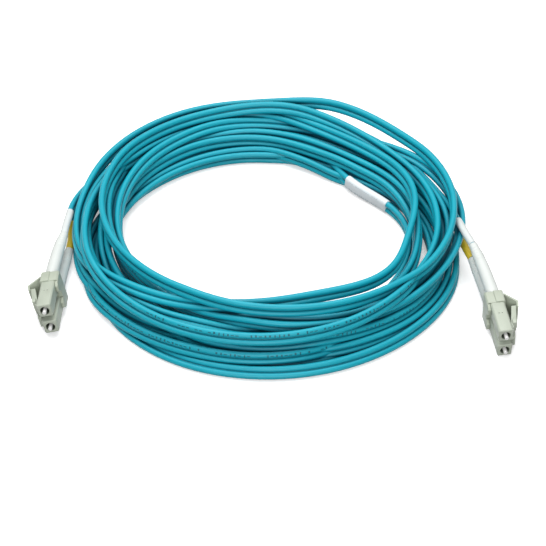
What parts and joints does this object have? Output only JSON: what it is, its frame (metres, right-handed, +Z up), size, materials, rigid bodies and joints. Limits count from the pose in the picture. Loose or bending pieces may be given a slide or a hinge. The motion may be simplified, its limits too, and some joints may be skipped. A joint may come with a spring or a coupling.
{
  "type": "fibre optic patch cord",
  "caption": "Duplex fibre optic patch cord wound in a loose ring, with latched two-plug connectors, white boots and coloured marker sleeves.",
  "frame": {"origin": "on the surface the cord lies on, midway between the two connectors' outer limits", "axes": "+X from connector A (left) to connector B (right), +Y away from the noses towards the ring, +Z up"},
  "size_m": [0.1515, 0.125, 0.015],
  "materials": {
    "housing": "moulded beige grey thermoplastic, fine satin texture",
    "clip": "moulded beige grey thermoplastic, fine satin texture",
    "ceramic": "ground and polished white zirconia",
    "flange_metal": "nickel plated brass",
    "spring_steel": "drawn stainless wire",
    "crimp_metal": "crimped, dull",
    "aramid": "loose aramid yarn",
    "fibre_buffer": "tight buffer, smooth",
    "boot_white": "soft white elastomer",
    "jacket": "satin low smoke jacket with a pale printed line",
    "sleeve_white": "shrunk sleeve",
    "sleeve_yellow": "shrunk sleeve",
    "label_white": "laminated wrap label"
  },
  "bodies": {
    "cord_and_housings": {"housing_a1": "housing", "housing_a2": "housing", "rear_body_a1": "clip", "rear_body_a2": "clip", "yarn_a1": "aramid", "yarn_a2": "aramid", "crimp_ring_a1": "crimp_metal", "crimp_ring_a2": "crimp_metal", "fibre_a1": "fibre_buffer", "fibre_a2": "fibre_buffer", "boot_a1": "boot_white", "boot_a2": "boot_white", "spring_a1": "spring_steel", "spring_a2": "spring_steel", "clip_a": "clip", "housing_b1": "housing", "housing_b2": "housing", "rear_body_b1": "clip", "rear_body_b2": "clip", "yarn_b1": "aramid", "yarn_b2": "aramid", "crimp_ring_b1": "crimp_metal", "crimp_ring_b2": "crimp_metal", "fibre_b1": "fibre_buffer", "fibre_b2": "fibre_buffer", "boot_b1": "boot_white", "boot_b2": "boot_white", "spring_b1": "spring_steel", "spring_b2": "spring_steel", "clip_b": "clip", "leg_a1": "jacket", "leg_a2": "jacket", "leg_b1": "jacket", "leg_b2": "jacket", "sleeve_a1": "sleeve_white", "sleeve_a2": "sleeve_yellow", "sleeve_b1": "sleeve_white", "sleeve_b2": "sleeve_yellow", "zip_cord_a": "jacket", "zip_cord_b": "jacket", "ring_of_turns": "jacket", "wrap_label": "label_white"},
    "trigger_a": {"trigger_a": "clip"},
    "latch_a1": {"latch_a1": "housing"},
    "ferrule_a1": {"ferrule_a1": "ceramic", "flange_a1": "flange_metal"},
    "latch_a2": {"latch_a2": "housing"},
    "ferrule_a2": {"ferrule_a2": "ceramic", "flange_a2": "flange_metal"},
    "trigger_b": {"trigger_b": "clip"},
    "latch_b1": {"latch_b1": "housing"},
    "ferrule_b1": {"ferrule_b1": "ceramic", "flange_b1": "flange_metal"},
    "latch_b2": {"latch_b2": "housing"},
    "ferrule_b2": {"ferrule_b2": "ceramic", "flange_b2": "flange_metal"}
  },
  "joints": [
    {"name": "trigger_a_press", "type": "hinge", "parent": "cord_and_housings", "child": "trigger_a", "pos_m": [-0.07084, 0.00179, 0.00543], "axis": [-0.2398, 0.0465, 0.9697], "range_deg": [0, 10], "stiffness_Nm_per_rad": 0.001},
    {"name": "latch_a1_flex", "type": "hinge", "parent": "cord_and_housings", "child": "latch_a1", "pos_m": [-0.07195, -0.01085, 0.00899], "axis": [0.2398, -0.0465, -0.9697], "range_deg": [0, 9]},
    {"name": "ferrule_a1_float", "type": "slide", "parent": "cord_and_housings", "child": "ferrule_a1", "axis": [0.0523, 0.998, -0.0349], "range_m": [0, 0.0008], "stiffness_N_per_m": 1000, "deforming": ["spring_a1"]},
    {"name": "latch_a2_flex", "type": "hinge", "parent": "cord_and_housings", "child": "latch_a2", "pos_m": [-0.07045, -0.01114, 0.00293], "axis": [0.2398, -0.0465, -0.9697], "range_deg": [0, 9]},
    {"name": "ferrule_a2_float", "type": "slide", "parent": "cord_and_housings", "child": "ferrule_a2", "axis": [0.0523, 0.998, -0.0349], "range_m": [0, 0.0008], "stiffness_N_per_m": 1000, "deforming": ["spring_a2"]},
    {"name": "trigger_b_press", "type": "hinge", "parent": "cord_and_housings", "child": "trigger_b", "pos_m": [0.07148, -0.00812, 0.00711], "axis": [0, 0.106, -0.9944], "range_deg": [0, 10], "stiffness_Nm_per_rad": 0.001},
    {"name": "latch_b1_flex", "type": "hinge", "parent": "cord_and_housings", "child": "latch_b1", "pos_m": [0.07327, -0.02106, 0.00887], "axis": [0, -0.106, 0.9944], "range_deg": [0, 9]},
    {"name": "ferrule_b1_float", "type": "slide", "parent": "cord_and_housings", "child": "ferrule_b1", "axis": [-0.1641, 0.9809, 0.1045], "range_m": [0, 0.0008], "stiffness_N_per_m": 1000, "deforming": ["spring_b1"]},
    {"name": "latch_b2_flex", "type": "hinge", "parent": "cord_and_housings", "child": "latch_b2", "pos_m": [0.07327, -0.0204, 0.00265], "axis": [0, -0.106, 0.9944], "range_deg": [0, 9]},
    {"name": "ferrule_b2_float", "type": "slide", "parent": "cord_and_housings", "child": "ferrule_b2", "axis": [-0.1641, 0.9809, 0.1045], "range_m": [0, 0.0008], "stiffness_N_per_m": 1000, "deforming": ["spring_b2"]}
  ],
  "couplings": [
    {"joint": "latch_a1_flex", "follows": "trigger_a_press", "ratio": 0.9},
    {"joint": "latch_a2_flex", "follows": "trigger_a_press", "ratio": 0.9},
    {"joint": "latch_b1_flex", "follows": "trigger_b_press", "ratio": 0.9},
    {"joint": "latch_b2_flex", "follows": "trigger_b_press", "ratio": 0.9}
  ]
}
